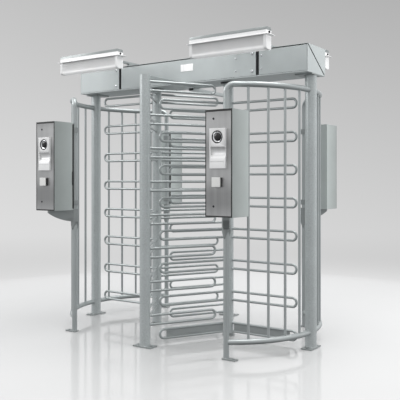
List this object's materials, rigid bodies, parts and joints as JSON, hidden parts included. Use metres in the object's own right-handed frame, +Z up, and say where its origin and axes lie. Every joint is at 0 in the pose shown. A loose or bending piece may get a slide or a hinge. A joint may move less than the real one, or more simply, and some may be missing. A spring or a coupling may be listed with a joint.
{
  "type": "full-height turnstile",
  "caption": "Double full-height turnstile with two bar rotors under one beam, barred half-round guides, comb posts, lamps and reader boxes with call buttons.",
  "frame": {"origin": "centre of the layout on the floor, halfway between the two rotor axes", "axes": "+X along the beam to the right, +Y to the rear, +Z up"},
  "size_m": [2.344, 1.82, 2.38],
  "materials": {
    "post_paint": "fine grey hammer-tone powder coat",
    "tube_paint": "satin silver-grey powder coat",
    "plate_paint": "satin silver-grey powder coat",
    "kick_plate_paint": "satin dark grey powder coat",
    "beam_paint": "satin light grey powder coat",
    "inner_steel": "dark primer",
    "bearing_iron": "dark machined",
    "gear_steel": "machined and oiled",
    "controller_case": "moulded",
    "nameplate_silver": "anodised, blank",
    "screw_zinc": "bright zinc",
    "lamp_white": "gloss white",
    "lamp_diffuser": "ribbed clear prismatic",
    "lamp_tube": "opal white",
    "reader_paint": "satin light grey powder coat",
    "faceplate_steel": "brushed stainless",
    "module_white": "satin white",
    "lens_black": "polished black",
    "bezel_black": "moulded",
    "button_white": "satin white"
  },
  "bodies": {
    "frame": {"base_plates": "plate_paint", "beam_bearings": "bearing_iron", "beam_cover_centre": "beam_paint", "beam_cover_left": "beam_paint", "beam_cover_right": "beam_paint", "beam_hood": "beam_paint", "beam_stiffeners": "inner_steel", "beam_tray": "beam_paint", "button_bezels": "bezel_black", "comb_hairpins_front": "tube_paint", "comb_hairpins_rear": "tube_paint", "comb_post_front": "post_paint", "comb_post_rear": "post_paint", "comb_tie_arms": "tube_paint", "controller": "controller_case", "cover_screws": "screw_zinc", "damper_units": "inner_steel", "floor_bearings": "plate_paint", "guide_bars_left": "tube_paint", "guide_bars_right": "tube_paint", "guide_frame_front_left": "tube_paint", "guide_frame_front_right": "tube_paint", "guide_frame_rear_left": "tube_paint", "guide_frame_rear_right": "tube_paint", "guide_low_rails_left": "tube_paint", "guide_low_rails_right": "tube_paint", "lamp_arms": "plate_paint", "lamp_diffusers": "lamp_diffuser", "lamp_housings_front": "lamp_white", "lamp_housings_rear": "lamp_white", "lamp_tubes": "lamp_tube", "module_lenses": "lens_black", "nameplate_blank": "nameplate_silver", "reader_brackets": "plate_paint", "reader_faceplates": "faceplate_steel", "reader_housing_front_left": "reader_paint", "reader_housing_front_right": "reader_paint", "reader_housing_rear_left": "reader_paint", "reader_housing_rear_right": "reader_paint", "support_post_left": "post_paint", "support_post_right": "post_paint", "support_top_flanges": "plate_paint", "ticket_modules": "module_white"},
    "rotor_left": {"column_left": "post_paint", "wing_left_1": "tube_paint", "wing_left_2": "tube_paint", "wing_left_3": "tube_paint", "index_gear_left": "gear_steel"},
    "rotor_right": {"column_right": "post_paint", "wing_right_1": "tube_paint", "wing_right_2": "tube_paint", "wing_right_3": "tube_paint", "kick_plates_right": "kick_plate_paint", "index_gear_right": "gear_steel"},
    "damper_left": {"damper_pinion_left": "gear_steel"},
    "damper_right": {"damper_pinion_right": "gear_steel"},
    "button_front_left": {"call_button_front_left": "button_white"},
    "button_front_right": {"call_button_front_right": "button_white"},
    "button_rear_left": {"call_button_rear_left": "button_white"},
    "button_rear_right": {"call_button_rear_right": "button_white"}
  },
  "joints": [
    {"name": "rotor_left_spin", "type": "hinge", "parent": "frame", "child": "rotor_left", "pos_m": [-0.38, 0, 0], "axis": [0, 0, 1], "continuous": true},
    {"name": "rotor_right_spin", "type": "hinge", "parent": "frame", "child": "rotor_right", "pos_m": [0.38, 0, 0], "axis": [0, 0, 1], "continuous": true},
    {"name": "damper_left_spin", "type": "hinge", "parent": "frame", "child": "damper_left", "pos_m": [-0.245, 0, 2.15], "axis": [0, 0, 1], "continuous": true},
    {"name": "damper_right_spin", "type": "hinge", "parent": "frame", "child": "damper_right", "pos_m": [0.245, 0, 2.15], "axis": [0, 0, 1], "continuous": true},
    {"name": "button_front_left_press", "type": "slide", "parent": "frame", "child": "button_front_left", "axis": [0, 1, 0], "range_m": [0, 0.004], "stiffness_N_per_m": 500, "springref_m": -0.002},
    {"name": "button_front_right_press", "type": "slide", "parent": "frame", "child": "button_front_right", "axis": [0, 1, 0], "range_m": [0, 0.004], "stiffness_N_per_m": 500, "springref_m": -0.002},
    {"name": "button_rear_left_press", "type": "slide", "parent": "frame", "child": "button_rear_left", "axis": [0, -1, 0], "range_m": [0, 0.004], "stiffness_N_per_m": 500, "springref_m": -0.002},
    {"name": "button_rear_right_press", "type": "slide", "parent": "frame", "child": "button_rear_right", "axis": [0, -1, 0], "range_m": [0, 0.004], "stiffness_N_per_m": 500, "springref_m": -0.002}
  ],
  "couplings": [
    {"joint": "damper_left_spin", "follows": "rotor_left_spin", "ratio": -4},
    {"joint": "damper_right_spin", "follows": "rotor_right_spin", "ratio": -4}
  ]
}
